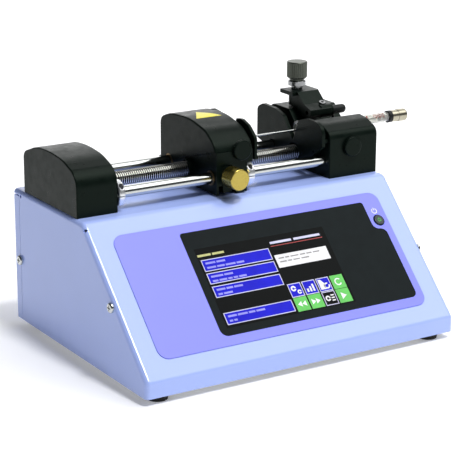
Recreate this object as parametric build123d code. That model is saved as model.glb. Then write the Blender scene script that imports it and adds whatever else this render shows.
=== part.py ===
"""Bench syringe pump: a folded steel case with a touch panel on its slope and, on its deck,
a lead screw drive that pushes the plunger of one small glass syringe.

The model is drawn in the case's own frame: x to the right from the case's left face, y back from
its front face, z up from its underside.  Each part is then moved so that the origin is at the
middle of the whole pump, on the surface that the feet stand on.  Units are millimetres.
"""
from build123d import *
import math
import os

# ---------------------------------------------------------------- driving dimensions
CASE_W = 226.0                    # case, left to right
CASE_D = 171.0                    # case, front to back
DECK_Z = 87.3                     # top of the deck
LIP_Z = 10.1                      # top of the upright front lip
SHEET = 1.5                       # sheet steel
LIP_BEND = 3.5                    # outer bend radii
RIDGE_BEND = 7.0
SIDE_BEND = 3.0
REAR_STRIP = 7.2                  # side flange of the rear panel
FOOT_H = 4.5
RIDGE_Y = DECK_Z - LIP_Z          # the slope is at 45 degrees

ROD_R = 3.75                      # guide rods
ROD_Z = DECK_Z + 11.0
FRONT_ROD_Y = 92.0
REAR_ROD_Y = 144.0
SCREW_Y = 118.0                   # the lead screw, the syringe and the plunger lie over each other
SCREW_Z = DECK_Z + 12.0
SCREW_R = 4.7
JOURNAL_R = 3.0
RUN = 0.05                        # radial running clearance
BEARING_R = 7.0                   # bushes of the lead screw
FAR_BEARING_X0 = 203.0

DRIVE_X0, DRIVE_X1 = 1.9, 30.0    # drive cover
FRAME_X0, FRAME_X1 = 21.5, 27.5   # drive frame
PUSHER_X0, PUSHER_X1 = 99.0, 127.0
HOLDER_X0, HOLDER_X1 = 186.4, 224.4

SYRINGE_Z = DECK_Z + 26.7
BARREL_R = 3.25
BARREL_BORE = 2.3
BARREL_X0, BARREL_X1 = 183.6, 260.0
RING_X0, HUB_X0, HUB_STEP, TIP_X1 = 257.4, 260.3, 265.6, 272.6
SEAL_X1 = 256.6

POST_X, POST_Y, POST_R = 197.2, 140.0, 3.0     # clamp post
POST_BASE = DECK_Z + 20.0
BAR_Z = DECK_Z + 37.2
CLAMP_TOP = DECK_Z + 49.2

BELT_W = 6.0
SCREW_PULLEY_R = 11.0
MOTOR_PULLEY_R = 5.5
PULLEY_X0 = 9.5
MOTOR_Z = 46.0
MOTOR_SIDE = 42.3
MOTOR_X0, MOTOR_X1 = 24.0, 62.0

SIDE_HEAD = 1.8                   # height of the side screws' heads
REAR_STAND = 2.4                  # how far the rear sockets' nuts stand out

SIDE_SCREWS = [(41.0, 44.6), (163.9, 40.7)]
FRAME_SCREWS = [(24.5, 100.0), (24.5, 136.0)]
HOLDER_SCREWS = [(196.0, 100.0), (196.0, 150.0), (214.0, 100.0), (214.0, 150.0)]
FOOT_SPOTS = [(13.0, 10.0), (213.0, 10.0), (13.0, 158.0), (213.0, 158.0)]

ORIGIN = Pos(-(TIP_X1 - SIDE_HEAD) / 2, -(CASE_D + REAR_STAND) / 2, FOOT_H)
SLOPE = Plane(origin=(0, 0, LIP_Z), x_dir=(1, 0, 0), z_dir=(0, -1, 1))

PARTS = {}


def keep(node, shape):
    """Names a finished part and moves it to the pump's origin."""
    PARTS[node] = ORIGIN * shape


# ---------------------------------------------------------------- shapes used again and again
def block(x0, x1, y0, y1, z0, z1):
    """Box between two corners."""
    return Pos((x0 + x1) / 2, (y0 + y1) / 2, (z0 + z1) / 2) * Box(x1 - x0, y1 - y0, z1 - z0)


def rod_x(x0, x1, y, z, r):
    """Round bar along x."""
    return Pos((x0 + x1) / 2, y, z) * Rot(0, 90, 0) * Cylinder(r, x1 - x0)


def rod_y(y0, y1, x, z, r):
    """Round bar along y."""
    return Pos(x, (y0 + y1) / 2, z) * Rot(90, 0, 0) * Cylinder(r, y1 - y0)


def rod_z(z0, z1, x, y, r):
    """Round bar upright."""
    return Pos(x, y, (z0 + z1) / 2) * Cylinder(r, z1 - z0)


def group(shapes):
    """Separate solids that share one part."""
    return Compound(children=list(shapes))


def polygon_solid(points, x0, x1):
    """Solid from x0 to x1 with a straight-sided outline in y and z."""
    face = make_face(Polyline(*points, close=True).edges())
    return extrude(Plane.YZ.offset(x0) * face, amount=x1 - x0)


def rounded_solid(corners, x0, x1):
    """Solid from x0 to x1 whose outline has corners of y, height over the deck and radius."""
    face = make_face(Polyline(*[(y, DECK_Z + up) for y, up, _ in corners], close=True).edges())
    for y, up, radius in corners:
        if radius:
            near = face.vertices().sort_by_distance((y, DECK_Z + up, 0))[0]
            face = fillet(near, radius)
    return extrude(Plane.YZ.offset(x0) * face, amount=x1 - x0)


def on_slope(x0, x1, s0, s1, n0, n1):
    """Box lying on the slope: x across, s up the slope and n outwards."""
    return SLOPE * block(x0, x1, s0, s1, n0, n1)


def rounded_on_slope(x0, x1, s0, s1, n0, n1, r):
    """The same with rounded corners."""
    return SLOPE * fillet(block(x0, x1, s0, s1, n0, n1).edges().filter_by(Axis.Z), r)


def soften_ends(shape, radius, floor):
    """Rounds the edges of the left and right end faces, except along the floor."""
    for pick in (0, -1):
        end = shape.faces().sort_by(Axis.X)[pick]
        rim = [edge for edge in end.edges() if edge.center().Z > floor + 0.1]
        shape = fillet(rim, radius)
    return shape


def chamfer_ends(shape, axis, size):
    """Breaks the round edges at both ends of a turned part."""
    rims = shape.faces().filter_by(axis).sort_by(axis)
    return chamfer([*rims[0].outer_wire().edges(), *rims[-1].outer_wire().edges()], size)


# ---------------------------------------------------------------- case
GLASS = (59.8, 206.4, 18.6, 90.8)           # x and slope limits of the touch glass
LCD = (65.2, 159.2, 23.8, 78.6)
OVERLAY = (14.8, 211.4, 12.2, 97.0)
BUTTON_X, BUTTON_S, BUTTON_R = 204.4, 76.0, 3.6
NOTCH_X, NOTCH_S = 197.9, 70.0              # the glass is cut away round the power button


def case_profile(inset):
    """Outline of the case in y and z, set in by the sheet where asked."""
    step = inset * math.tan(math.radians(22.5))
    floor = -inset * 4
    return [
        (inset, floor),
        (inset, LIP_Z - step),
        (RIDGE_Y + step, DECK_Z - inset),
        (CASE_D + inset * 4, DECK_Z - inset),
        (CASE_D + inset * 4, floor),
    ]


RELIEF_HOLES = [(RIDGE_Y - 2.6, DECK_Z - 4.4), (161.6, DECK_Z - 3.4)]


def deck_openings():
    """Belt slot and screw holes through the deck."""
    z0, z1 = DECK_Z - 4, DECK_Z + 1
    slot = block(PULLEY_X0 - 2.5, PULLEY_X0 + BELT_W + 3, SCREW_Y - 14, SCREW_Y + 14, z0, z1)
    return [slot] + [rod_z(z0, z1, x, y, 2.05) for x, y in FRAME_SCREWS + HOLDER_SCREWS]


def make_case_shell():
    """Front lip, slope, deck and sides folded from one sheet, with relief holes at the corners."""
    shell = polygon_solid(case_profile(0), 0, CASE_W)
    for y, z, bend in ((0, LIP_Z, LIP_BEND), (RIDGE_Y, DECK_Z, RIDGE_BEND)):
        along = shell.edges().filter_by(Axis.X)
        fold = along.sort_by_distance((CASE_W / 2, y, z))[0]
        shell = fillet(fold, bend)
    sides = shell.faces().filter_by(Axis.X)
    rims = [e for f in sides for e in f.edges() if e.center().Z > 0.1 and e.center().Y < CASE_D - 0.1]
    shell = fillet(rims, SIDE_BEND)
    shell -= polygon_solid(case_profile(SHEET), SHEET, CASE_W - SHEET)
    shell -= block(-1, CASE_W + 1, CASE_D - REAR_STRIP, CASE_D + 1, -1, DECK_Z - SIDE_BEND)
    shell -= on_slope(GLASS[0] + 3, GLASS[1] - 12, GLASS[2] + 3, GLASS[3] - 3, -5, 1)
    shell -= SLOPE * Pos(BUTTON_X, BUTTON_S, -2) * Cylinder(BUTTON_R + 0.5, 8)
    for hole in deck_openings():
        shell -= hole
    for y, z in SIDE_SCREWS:
        shell -= rod_x(-1, CASE_W + 1, y, z, 1.6)
    for y, z in RELIEF_HOLES:
        shell -= rod_x(-1, CASE_W + 1, y, z, 1.1)
    return shell


def make_base_plate():
    """Tray that closes the underside, turned up at both sides for the side screws."""
    x0, x1 = SHEET + 0.1, CASE_W - SHEET - 0.1
    y0, y1 = SHEET + 0.1, CASE_D - SHEET - 0.1
    tray = block(x0, x1, y0, y1, 0, SHEET)
    wall = [(16, 0), (16, 17), (42, 47), (54, 47), (60, 14), (150, 14), (156, 46), (y1, 46), (y1, 0)]
    for left in (x0, x1 - SHEET):
        tray += polygon_solid(wall, left, left + SHEET)
    for y, z in SIDE_SCREWS:
        tray -= rod_x(-1, CASE_W + 1, y, z, 1.6)
    for x, y in FOOT_SPOTS:
        tray -= rod_z(-1, 5, x, y, 1.6)
    for i in range(7):
        tray -= block(80 + i * 11, 84 + i * 11, 60, 100, -1, 5)
    return tray


REAR_HOLES = [                                # x0, x1, z0, z1 of the rear sockets
    (28.0, 47.0, 22.0, 41.0),                 # power switch
    (100.0, 112.4, 24.0, 35.4),               # square data socket
    (124.0, 137.4, 23.0, 35.0),               # first phone-type socket
    (141.0, 154.4, 23.0, 35.0),               # second phone-type socket
    (168.0, 194.0, 24.0, 34.0),               # wide control socket
]
INLET_X, INLET_Z, INLET_R = 68.0, 31.5, 6.0
ROCKER_Y = CASE_D - 2.6


def make_rear_panel():
    """Flat rear plate with side flanges and cut-outs for the sockets, and vent slots."""
    top = DECK_Z - SHEET - 0.1
    shoulder = DECK_Z - SIDE_BEND - 0.8
    panel = block(0, CASE_W, CASE_D - SHEET, CASE_D, 0, shoulder)
    panel += block(SHEET + 0.1, CASE_W - SHEET - 0.1, CASE_D - SHEET, CASE_D, shoulder, top)
    for x0 in (0, CASE_W - SHEET):
        panel += block(x0, x0 + SHEET, CASE_D - REAR_STRIP + 0.3, CASE_D, 0, shoulder)
    for y, z in SIDE_SCREWS:
        panel -= rod_x(-1, CASE_W + 1, y, z, 1.6)
    for x0, x1, z0, z1 in REAR_HOLES:
        panel -= block(x0, x1, CASE_D - 5, CASE_D + 1, z0, z1)
    panel -= rod_y(CASE_D - 5, CASE_D + 1, INLET_X, INLET_Z, INLET_R)
    for i in range(9):
        panel -= block(68 + i * 10, 72 + i * 10, CASE_D - 5, CASE_D + 1, 52, 74)
    return panel


def pan_head_x(x_face, direction, y, z, head_r, head_h, shank_r, shank_l):
    """Pan-head screw lying along x, its head standing out from x_face, with a cross recess."""
    outer = x_face + direction * head_h
    head = rod_x(min(x_face, outer), max(x_face, outer), y, z, head_r)
    rim = head.faces().sort_by(Axis.X)[0 if direction < 0 else -1].edges()
    head = fillet(rim, head_h * 0.6)
    inner = x_face - direction * shank_l
    screw = head + rod_x(min(x_face, inner), max(x_face, inner), y, z, shank_r)
    for w, h in ((head_r * 1.1, 0.8), (0.8, head_r * 1.1)):
        screw -= Pos(outer, y, z) * Box(head_h, w, h)
    return screw


def make_side_screws():
    """Screws that hold the case to the base tray."""
    screws = []
    for y, z in SIDE_SCREWS:
        screws.append(pan_head_x(0, -1, y, z, 3.2, SIDE_HEAD, 1.5, 6))
        screws.append(pan_head_x(CASE_W, 1, y, z, 3.2, SIDE_HEAD, 1.5, 6))
    return group(screws)


def make_feet():
    """Four tapered rubber feet."""
    feet = []
    for x, y in FOOT_SPOTS:
        foot = Pos(x, y, -FOOT_H / 2) * Cone(6.2, 7.2, FOOT_H)
        foot -= rod_z(-FOOT_H - 1, -1.8, x, y, 3.2)
        foot -= rod_z(-3, 1, x, y, 1.6)
        feet.append(foot)
    return group(feet)


def make_foot_screws():
    """Screws up through the feet."""
    return group(rod_z(-3.4, -1.8, x, y, 3.0) + rod_z(-1.8, 5.0, x, y, 1.5) for x, y in FOOT_SPOTS)


# ---------------------------------------------------------------- front panel
def glass_area(grow, n0, n1):
    """The glass's outline, its upper right corner cut away in an S round the power button."""
    x0, x1, s0, s1 = GLASS
    x0, x1, s0, s1 = x0 - grow, x1 + grow, s0 - grow, s1 + grow
    nx, ns = NOTCH_X + grow, NOTCH_S + grow
    r = 4.5
    edges = [
        Line((x0, s0), (x1, s0)),
        Line((x1, s0), (x1, ns - r)),
        RadiusArc((x1, ns - r), (x1 - r, ns), -r),
        RadiusArc((x1 - r, ns), (nx, ns + r), r),
        Line((nx, ns + r), (nx, s1 - 2)),
        RadiusArc((nx, s1 - 2), (nx - 2, s1), -2),
        Line((nx - 2, s1), (x0, s1)),
        Line((x0, s1), (x0, s0)),
    ]
    face = make_face(edges)
    for x, s, radius in ((x0, s0, 5.0), (x1, s0, 4.0), (x0, s1, 2.0)):
        corner = face.vertices().sort_by_distance((x, s, 0))[0]
        face = fillet(corner, radius)
    return SLOPE * Pos(0, 0, n0) * extrude(face, amount=n1 - n0)


def make_front_overlay():
    """Printed film on the slope, with a window for the glass and a hole for the button."""
    film = rounded_on_slope(*OVERLAY, 0.02, 0.5, 7.0)
    film -= glass_area(0.1, -1, 2)
    film -= SLOPE * Pos(BUTTON_X, BUTTON_S, 0) * Cylinder(BUTTON_R + 0.5, 4)
    return film


def make_touch_glass():
    """Dark touch glass, flush with the film."""
    return glass_area(0, 0.02, 0.5)


def make_lcd_module():
    """Display behind the glass, in its metal frame."""
    frame = on_slope(GLASS[0] + 4, GLASS[1] - 28, GLASS[2] + 4, GLASS[3] - 4, -6.5, 0)
    return frame - on_slope(LCD[0], LCD[1], LCD[2], LCD[3], -0.6, 1)


def make_power_button():
    """Round push button with a stem, its cap standing just out of the film."""
    cap = SLOPE * Pos(BUTTON_X, BUTTON_S, 0.0) * Cylinder(BUTTON_R, 2.6)
    rim = cap.faces().sort_by(Axis((0, 0, 0), (0, -1, 1)))[-1].edges()
    cap = fillet(rim, 0.5)
    return cap + SLOPE * Pos(BUTTON_X, BUTTON_S, -2.9) * Cylinder(1.2, 3.4)


def make_button_switch():
    """Switch body behind the power button, on its own small board."""
    body = on_slope(BUTTON_X - 4, BUTTON_X + 4, BUTTON_S - 4, BUTTON_S + 4, -10.2, -5.6)
    return body + on_slope(BUTTON_X - 6, BUTTON_X + 6, BUTTON_S - 9, BUTTON_S + 9, -11.8, -10.2)


def make_main_board():
    """Control board behind the display."""
    return on_slope(48, 190, 18, 84, -16.1, -14.5)


BOARD_HOLES = [(54, 24), (184, 24), (54, 78), (184, 78)]     # x and s of the board's posts


def make_board_posts():
    """Threaded posts that carry the board from the slope."""
    low, high = -14.5, -SHEET
    post = Cylinder(2.6, high - low)
    return group(SLOPE * Pos(x, s, (low + high) / 2) * post for x, s in BOARD_HOLES)


def make_board_parts():
    """Larger parts on the back of the control board."""
    spots = [(70, 90, 40, 60, 3), (110, 124, 34, 58, 5), (140, 152, 40, 52, 7), (160, 178, 52, 70, 4)]
    return group(on_slope(x0, x1, s0, s1, -16.1 - h, -16.1) for x0, x1, s0, s1, h in spots)


# ---------------------------------------------------------------- rear sockets
def make_switch_frame():
    """Frame of the rocker switch."""
    x0, x1, z0, z1 = REAR_HOLES[0]
    body = block(x0 + 0.1, x1 - 0.1, CASE_D - 14, CASE_D, z0 + 0.1, z1 - 0.1)
    body += block(x0 - 1.4, x1 + 1.4, CASE_D, CASE_D + 1.4, z0 - 1.4, z1 + 1.4)
    body -= block(x0 + 2.4, x1 - 2.4, CASE_D - 8, CASE_D + 3, z0 + 1.6, z1 - 1.6)
    return body - rod_x(x0 + 1.2, x1 - 1.2, ROCKER_Y, (z0 + z1) / 2, 0.9 + RUN)


def make_switch_rocker():
    """Rocker, off at rest, that tips about a pin along x."""
    x0, x1, z0, z1 = REAR_HOLES[0]
    mid = (z0 + z1) / 2
    half = (z1 - z0) / 2 - 2.4
    points = [
        (ROCKER_Y - 1.6, mid - half + 1.2),
        (ROCKER_Y + 2.9, mid - half),
        (ROCKER_Y + 2.4, mid),
        (ROCKER_Y + 4.6, mid + half),
        (ROCKER_Y - 0.4, mid + half - 1.2),
        (ROCKER_Y - 3.4, mid),
    ]
    rocker = polygon_solid(points, x0 + 2.9, x1 - 2.9)
    return rocker + rod_x(x0 + 1.6, x1 - 1.6, ROCKER_Y, mid, 0.9)


def make_power_inlet():
    """Round low-voltage inlet with its nut and centre pin."""
    body = rod_y(CASE_D - 13, CASE_D + 0.1, INLET_X, INLET_Z, INLET_R - 0.1)
    body += rod_y(CASE_D, CASE_D + REAR_STAND, INLET_X, INLET_Z, 7.6)
    body -= rod_y(CASE_D - 10, CASE_D + 4, INLET_X, INLET_Z, 3.2)
    return body + rod_y(CASE_D - 11, CASE_D - 0.5, INLET_X, INLET_Z, 1.0)


def socket_box(hole, cavities):
    """Rear socket filling its cut-out, hollow where its plug goes in."""
    x0, x1, z0, z1 = hole
    body = block(x0 + 0.1, x1 - 0.1, CASE_D - 14, CASE_D + 0.4, z0 + 0.1, z1 - 0.1)
    for a, b, c, d in cavities:
        body -= block(x0 + a, x1 - b, CASE_D - 10, CASE_D + 2, z0 + c, z1 - d)
    return body


def make_usb_socket():
    """Square data socket with its tongue."""
    x0, x1, z0, z1 = REAR_HOLES[1]
    tongue = block(x0 + 3.4, x1 - 3.4, CASE_D - 11, CASE_D - 2, z0 + 4.0, z1 - 4.0)
    return socket_box(REAR_HOLES[1], [(1.2, 1.2, 1.2, 1.2)]) + tongue


def make_network_sockets():
    """Two phone-type sockets for chaining pumps."""
    return group(socket_box(hole, [(1.4, 1.4, 1.4, 2.6)]) for hole in REAR_HOLES[2:4])


def make_control_socket():
    """Wide socket for outside control, with two jack posts."""
    x0, x1, z0, z1 = REAR_HOLES[4]
    body = socket_box(REAR_HOLES[4], [(1.6, 1.6, 1.4, 1.4)])
    body += block(x0 + 2.6, x1 - 2.6, CASE_D - 11, CASE_D - 2.5, z0 + 2.4, z1 - 2.4)
    plate = block(x0 - 6.6, x1 + 6.6, CASE_D, CASE_D + 0.4, z0 - 0.6, z1 + 0.6)
    body += plate - block(x0 + 1.6, x1 - 1.6, CASE_D - 1, CASE_D + 1, z0 + 1.4, z1 - 1.4)
    for x in (x0 - 4.0, x1 + 4.0):
        body += rod_y(CASE_D, CASE_D + 2.2, x, (z0 + z1) / 2, 2.6)
    return body


# ---------------------------------------------------------------- drive
def drive_corners(inset):
    """Domed side outline of the drive cover, set in by its wall where asked."""
    front, back = 86.5 + inset, 160.0 - inset
    return [
        (front, -inset, 0),
        (front, 26.2 - inset, 12 - inset),
        (105, 32.9 - inset, 40),
        (125, 34.9 - inset, 110),
        (142, 33.2 - inset, 40),
        (back, 26.5 - inset, 6 - inset),
        (back, -inset, 0),
    ]


def make_drive_cover():
    """Hollow cover over the pulley and drive frame."""
    cover = rounded_solid(drive_corners(0), DRIVE_X0, DRIVE_X1)
    cover = soften_ends(cover, 0.8, DECK_Z)
    cover -= rounded_solid(drive_corners(2.0), DRIVE_X0 + 2, FRAME_X1 + 0.2)
    cover -= block(DRIVE_X0 + 2, FRAME_X1 + 0.2, 88.5, 158, DECK_Z - 1, DECK_Z + 12)
    cover -= rod_x(20, 40, FRONT_ROD_Y, ROD_Z, ROD_R + 0.2)
    cover -= rod_x(20, 40, REAR_ROD_Y, ROD_Z, ROD_R + 0.2)
    return cover - rod_x(20, 40, SCREW_Y, SCREW_Z, SCREW_R + 0.6)


def make_drive_frame():
    """Plate on the deck that holds the rods, the left screw bearing and the cover."""
    frame = block(FRAME_X0, FRAME_X1, 88.7, 157.8, DECK_Z, DECK_Z + 22)
    frame = chamfer([e for e in frame.edges().filter_by(Axis.X) if e.center().Z > DECK_Z + 1], 4)
    frame -= rod_x(FRAME_X0 - 1, FRAME_X1 + 1, FRONT_ROD_Y, ROD_Z, ROD_R)
    frame -= rod_x(FRAME_X0 - 1, FRAME_X1 + 1, REAR_ROD_Y, ROD_Z, ROD_R)
    frame -= rod_x(FRAME_X0 - 1, FRAME_X1 + 1, SCREW_Y, SCREW_Z, BEARING_R)
    for x, y in FRAME_SCREWS:
        frame -= rod_z(DECK_Z - 1, DECK_Z + 9, x, y, 1.5)
    return frame


def make_screw_bearings():
    """Plain bushes at both ends of the lead screw."""
    bushes = []
    for x0, x1 in ((FRAME_X0 + 0.5, FRAME_X1 - 0.5), (FAR_BEARING_X0, FAR_BEARING_X0 + 5.0)):
        bush = rod_x(x0, x1, SCREW_Y, SCREW_Z, BEARING_R)
        bushes.append(bush - rod_x(x0 - 1, x1 + 1, SCREW_Y, SCREW_Z, JOURNAL_R + RUN))
    return group(bushes)


def make_lead_screw():
    """Lead screw turned down to a journal at each end."""
    screw = rod_x(FRAME_X1 + 0.7, FAR_BEARING_X0 - 0.6, SCREW_Y, SCREW_Z, SCREW_R)
    screw = chamfer_ends(screw, Axis.X, 0.8)
    return screw + rod_x(PULLEY_X0 - 1.5, FAR_BEARING_X0 + 6.5, SCREW_Y, SCREW_Z, JOURNAL_R)


def pulley(x0, y, z, r, bore):
    """Toothed belt pulley with two flanges and a bore."""
    wheel = rod_x(x0, x0 + BELT_W + 1, y, z, r)
    teeth = round(r * 3)
    for i in range(teeth):
        turn = 2 * math.pi * i / teeth
        wheel -= rod_x(x0 - 1, x0 + BELT_W + 2, y + r * math.cos(turn), z + r * math.sin(turn), 0.45)
    wheel += rod_x(x0 - 1, x0, y, z, r + 1.6)
    wheel += rod_x(x0 + BELT_W + 1, x0 + BELT_W + 2, y, z, r + 1.6)
    return wheel - rod_x(x0 - 5, x0 + 12, y, z, bore)


def make_screw_pulley():
    """Large pulley on the lead screw."""
    return pulley(PULLEY_X0, SCREW_Y, SCREW_Z, SCREW_PULLEY_R, JOURNAL_R)


def make_motor_pulley():
    """Small pulley on the motor shaft."""
    return pulley(PULLEY_X0, SCREW_Y, MOTOR_Z, MOTOR_PULLEY_R, 2.5)


def belt_loop(grow, x0, x1):
    """Solid inside of the belt's loop round both pulleys."""
    big, small = SCREW_PULLEY_R + grow, MOTOR_PULLEY_R + grow
    rise = SCREW_Z - MOTOR_Z
    lean = math.asin((big - small) / rise)
    across, up = math.cos(lean), math.sin(lean)
    points = [
        (SCREW_Y + big * across, SCREW_Z - big * up),
        (SCREW_Y - big * across, SCREW_Z - big * up),
        (SCREW_Y - small * across, MOTOR_Z - small * up),
        (SCREW_Y + small * across, MOTOR_Z - small * up),
    ]
    loop = polygon_solid(points, x0, x1)
    return loop + rod_x(x0, x1, SCREW_Y, SCREW_Z, big) + rod_x(x0, x1, SCREW_Y, MOTOR_Z, small)


def make_timing_belt():
    """Belt from the motor up through the deck to the lead screw."""
    x0 = PULLEY_X0 + 0.5
    return belt_loop(1.4, x0, x0 + BELT_W) - belt_loop(0.35, x0 - 1, x0 + BELT_W + 1)


def make_motor_body():
    """Square stepping motor under the deck."""
    half = MOTOR_SIDE / 2
    body = block(MOTOR_X0, MOTOR_X1, SCREW_Y - half, SCREW_Y + half, MOTOR_Z - half, MOTOR_Z + half)
    body = chamfer(body.edges().filter_by(Axis.X), 4.0)
    body -= block(MOTOR_X0 + 9, MOTOR_X1 - 9, SCREW_Y + half - 0.8, SCREW_Y + half + 1, 0, 90)
    body += rod_x(MOTOR_X0 - 2, MOTOR_X0, SCREW_Y, MOTOR_Z, 11)
    return body - rod_x(MOTOR_X0 - 3, MOTOR_X1 - 4, SCREW_Y, MOTOR_Z, 2.5 + RUN)


MOTOR_HOLES = [(dy, dz) for dy in (-15.5, 15.5) for dz in (-15.5, 15.5)]


def make_motor_shaft():
    """Motor shaft."""
    return rod_x(PULLEY_X0 - 1.5, MOTOR_X1 - 5, SCREW_Y, MOTOR_Z, 2.5)


def make_motor_bracket():
    """Angle that hangs the motor from the deck."""
    x1 = MOTOR_X0
    x0 = x1 - 2.0
    under = DECK_Z - SHEET
    bracket = block(x0, x1, SCREW_Y - 24, SCREW_Y + 24, MOTOR_Z - 22, under)
    bracket += block(x0, x1 + 12, SCREW_Y - 24, SCREW_Y + 24, under - 2, under)
    bracket -= rod_x(x0 - 1, x1 + 1, SCREW_Y, MOTOR_Z, 11.1)
    for dy, dz in MOTOR_HOLES:
        bracket -= rod_x(x0 - 1, x1 + 1, SCREW_Y + dy, MOTOR_Z + dz, 1.6)
    for x, y in FRAME_SCREWS:
        bracket -= rod_z(under - 5, under + 1, x, y, 3.4)
    return bracket


def make_guide_rod(y):
    """Plain guide rod from the drive frame into the holder."""
    rod = rod_x(FRAME_X0, 216.0, y, ROD_Z, ROD_R)
    return chamfer_ends(rod, Axis.X, 0.5)


COLLARS = {"stop_collar_left": (30.2, 34.2), "stop_collar_right": (122.9, 128.3)}
COLLAR_R = 8.2


def make_collar(x0, x1):
    """Split stop collar with a clamping slot."""
    ring = chamfer_ends(rod_x(x0, x1, FRONT_ROD_Y, ROD_Z, COLLAR_R), Axis.X, 0.6)
    ring -= rod_x(x0 - 1, x1 + 1, FRONT_ROD_Y, ROD_Z, ROD_R)
    ring -= block(x0 - 1, x1 + 1, 80, FRONT_ROD_Y, ROD_Z - 1.0, ROD_Z - 0.2)
    middle = (x0 + x1) / 2
    return ring - rod_z(ROD_Z, ROD_Z + 12, middle, FRONT_ROD_Y - 5.7, 1.6)


def make_collar_screws():
    """Cap screws that pinch the collars."""
    screws = []
    for x0, x1 in COLLARS.values():
        middle = (x0 + x1) / 2
        screw = rod_z(ROD_Z + 0.6, ROD_Z + 6.2, middle, FRONT_ROD_Y - 5.7, 1.55)
        screws.append(screw - rod_z(ROD_Z + 5, ROD_Z + 7, middle, FRONT_ROD_Y - 5.7, 0.8))
    return group(screws)


# ---------------------------------------------------------------- pusher
PARTING = [(142.5, 12.0), (88.0, 28.5)]      # sloping lower edge of the pusher's cover
BUSH_R, BUSH_L = 4.8, 5.0                    # guide bushes
KNOB_X, KNOB_Z = 107.7, DECK_Z + 13.4        # release knob
STEM_R = 3.0
YOKE = (KNOB_X - 3.1, KNOB_X + 3.1)          # left and right sides of the release yoke
NUT_Y = 119.2                                # front face of the half nut
PUSHER_PINS = [(96.5, DECK_Z + 26.0), (141.0, DECK_Z + 25.0)]
PUSHER_STUD = (118.0, DECK_Z + 28.6)         # locking screws
HOLDER_STUD = (203.6, DECK_Z + 20.0)
STUD_R = 1.6
PUSHER_CORNERS = [                           # domed outline of the pusher
    (85, 1, 0),
    (85, 31.5, 12),
    (97, 40.5, 25),
    (118, 45.2, 60),
    (142, 43.6, 40),
    (155, 38.6, 6),
    (155, 1, 0),
]


def below_parting(x0, x1, drop):
    """Everything under the cover's sloping lower edge."""
    (back, back_z), (front, front_z) = PARTING
    z0 = DECK_Z
    points = [
        (80, z0 - 5),
        (80, z0 + front_z - drop),
        (front, z0 + front_z - drop),
        (back, z0 + back_z - drop),
        (165, z0 + back_z - drop),
        (165, z0 - 5),
    ]
    return polygon_solid(points, x0, x1)


def make_pusher_cover():
    """Domed cover of the pusher, hollow, its lower edge sloping on the left."""
    cover = rounded_solid(PUSHER_CORNERS, PUSHER_X0, PUSHER_X1)
    cover = soften_ends(cover, 1.0, DECK_Z + 1.0)
    cover -= below_parting(PUSHER_X0 - 1, PUSHER_X1 + 1, 0)
    cover -= block(PUSHER_X0 + 1.8, PUSHER_X1 - 1.8, 87.2, 152.8, DECK_Z, DECK_Z + 30)
    cover -= block(PUSHER_X0 + 1.8, PUSHER_X1 - 1.8, 98, 144, DECK_Z + 29, DECK_Z + 36)
    cover -= rod_x(PUSHER_X0 - 1, PUSHER_X1 + 1, REAR_ROD_Y, ROD_Z, BUSH_R + 0.2)
    cover -= stud_hole(*PUSHER_STUD)
    for y, z in PUSHER_PINS:
        cover -= rod_x(PUSHER_X1 - 3, PUSHER_X1 + 1, y, z, 1.7)
    return cover


def collar_pocket():
    """Room for the right stop collar, under the front edge of the pusher."""
    x0 = COLLARS["stop_collar_right"][0] - 0.5
    return block(x0, PUSHER_X1 + 1, 80, 101.0, DECK_Z, ROD_Z + COLLAR_R + 0.6)


def stud_hole(x, z):
    """Hole for the shank of a locking screw."""
    return rod_y(80, 92.5, x, z, STUD_R + RUN)


def make_pusher_block():
    """Machined block inside the cover that rides on the guide rods."""
    x0, x1 = PUSHER_X0 + 2.2, PUSHER_X1 - 2.0
    body = block(x0, x1, 87.6, 152.4, DECK_Z + 1, DECK_Z + 29.5)
    foot = below_parting(PUSHER_X0 + 0.8, PUSHER_X1 - 0.4, 0.3)
    foot &= block(PUSHER_X0, PUSHER_X1, 85, 157.6, DECK_Z + 1, DECK_Z + 40)
    body += foot
    body += rod_x(PUSHER_X0 - 3.0, PUSHER_X0 + 2, SCREW_Y, SCREW_Z, 6.5)
    body -= rod_x(90, 140, FRONT_ROD_Y, ROD_Z, BUSH_R)
    body -= rod_x(90, 140, REAR_ROD_Y, ROD_Z, BUSH_R)
    body -= rod_x(90, 140, SCREW_Y, SCREW_Z, SCREW_R + 0.9)
    body -= block(101.4, 114.2, 84, 134.0, DECK_Z, DECK_Z + 6.6)
    body -= block(101.4, 114.2, NUT_Y - 4, 134.0, DECK_Z, DECK_Z + 20.5)
    body -= block(YOKE[0] - 0.4, YOKE[1] + 0.4, 84, 88.6, DECK_Z, DECK_Z + 19.6)
    body -= collar_pocket()
    body -= stud_hole(*PUSHER_STUD)
    for y, z in PUSHER_PINS:
        body -= rod_x(PUSHER_X1 - 12, PUSHER_X1 + 1, y, z, 1.6)
    return body


def make_pusher_bushings():
    """Bronze bushes, one at each end of each guide-rod bore."""
    bushes = []
    right = COLLARS["stop_collar_right"][0] - 0.8 - BUSH_L
    for y in (FRONT_ROD_Y, REAR_ROD_Y):
        for x0 in (PUSHER_X0 + 0.2, right):
            bush = rod_x(x0, x0 + BUSH_L, y, ROD_Z, BUSH_R)
            bushes.append(bush - rod_x(x0 - 1, x0 + BUSH_L + 1, y, ROD_Z, ROD_R + RUN))
    return group(bushes)


def make_half_nut():
    """Half nut behind the screw."""
    nut = block(103, 112.6, NUT_Y, NUT_Y + 10.2, DECK_Z + 5.6, DECK_Z + 19.5)
    return nut - rod_x(90, 120, SCREW_Y, SCREW_Z, SCREW_R + 0.35)


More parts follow.
